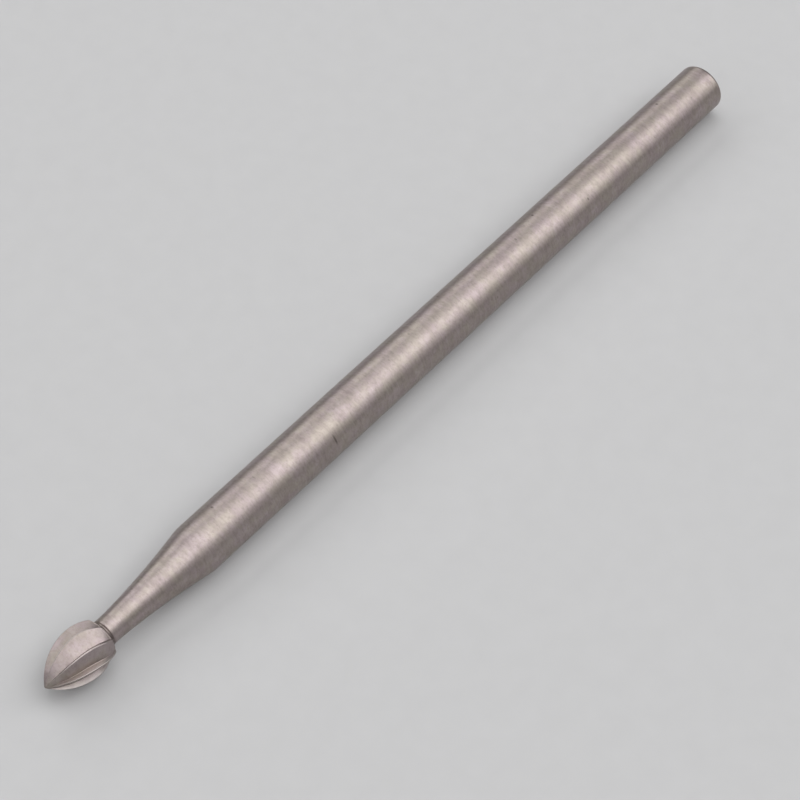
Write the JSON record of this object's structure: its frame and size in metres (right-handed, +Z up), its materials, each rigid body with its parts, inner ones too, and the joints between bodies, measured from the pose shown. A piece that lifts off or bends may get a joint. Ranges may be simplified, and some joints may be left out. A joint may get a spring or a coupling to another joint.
{
  "type": "dental bur",
  "caption": "One-piece steel rotary bur: a pointed bud head with saw-tooth blades, a slim neck and a straight handpiece shank, for cutting and trimming.",
  "frame": {"origin": "on the surface that the bur lies on, under the middle of its length", "axes": "+X runs along the bur's axis from the point of the head to the flat end of the shank; +Z is up"},
  "size_m": [0.0446, 0.0024, 0.0023],
  "materials": {
    "steel": "satin"
  },
  "bodies": {
    "root": {"bur": "steel"}
  },
  "joints": []
}
